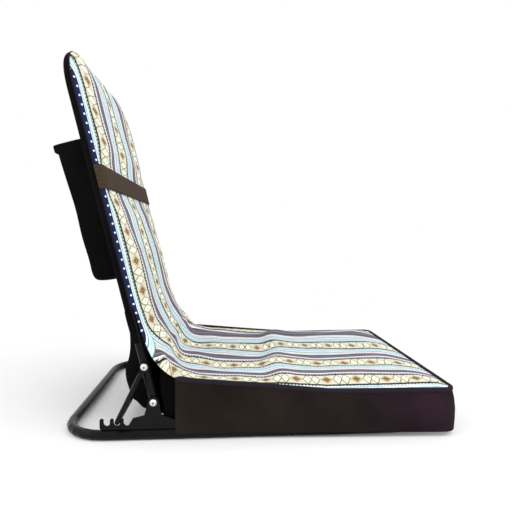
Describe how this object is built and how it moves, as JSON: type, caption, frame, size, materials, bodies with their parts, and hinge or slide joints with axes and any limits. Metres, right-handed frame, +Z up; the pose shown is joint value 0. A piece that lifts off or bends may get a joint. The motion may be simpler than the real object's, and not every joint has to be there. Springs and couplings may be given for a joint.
{
  "type": "folding floor chair",
  "caption": "Legless floor chair with a padded striped seat and back, a tube frame, and a folding back held by a stay in toothed rack plates",
  "frame": {"origin": "on the floor under the middle of the chair's outer size", "axes": "+Z up, the sitter faces -Y, +X to the sitter's left"},
  "size_m": [0.4506, 0.6468, 0.619],
  "materials": {
    "black_paint": "semi-gloss black paint",
    "zinc_steel": "dull zinc",
    "striped_cloth": "woven stripes",
    "black_cloth": "matt weave",
    "foam": "open-cell foam",
    "webbing": "ribbed webbing"
  },
  "bodies": {
    "base": {"base_frame": "black_paint", "seat_crossbar_front": "black_paint", "seat_crossbar_rear": "black_paint", "rack_plate_left": "black_paint", "rack_plate_right": "black_paint", "pivot_rivet_left": "zinc_steel", "pivot_rivet_right": "zinc_steel", "pivot_washer_left": "zinc_steel", "pivot_washer_right": "zinc_steel", "seat_foam": "foam", "seat_top_cover": "striped_cloth", "seat_boxing": "black_cloth", "seat_piping": "black_cloth", "seat_underside": "black_cloth", "bend_pad": "foam", "bend_side_left": "black_cloth", "bend_side_right": "black_cloth", "bend_cover": "striped_cloth", "bend_gusset": "black_cloth"},
    "backrest": {"back_frame": "black_paint", "back_crossbar": "black_paint", "back_foam": "foam", "back_front_cover": "striped_cloth", "back_rear_panel": "black_cloth", "back_piping": "black_cloth", "elastic_strap": "webbing", "pocket_pouch": "black_cloth", "pocket_hem": "black_cloth", "tube_sleeve_left": "black_cloth", "tube_sleeve_right": "black_cloth", "stay_rivet_left": "zinc_steel", "stay_rivet_right": "zinc_steel"},
    "stay": {"stay_rod": "black_paint"}
  },
  "joints": [
    {"name": "backrest_fold", "type": "hinge", "parent": "base", "child": "backrest", "pos_m": [0, 0.15763, 0.058], "axis": [1, 0, 0], "range_deg": [0, 83], "deforming": ["bend_pad", "bend_side_left", "bend_side_right", "bend_cover", "bend_gusset"]},
    {"name": "stay_swing", "type": "hinge", "parent": "backrest", "child": "stay", "pos_m": [0, 0.17115, 0.1143], "axis": [1, 0, 0], "range_deg": [-24.9, 0]}
  ],
  "couplings": [
    {"joint": "stay_swing", "follows": "backrest_fold", "ratio": -0.3}
  ]
}
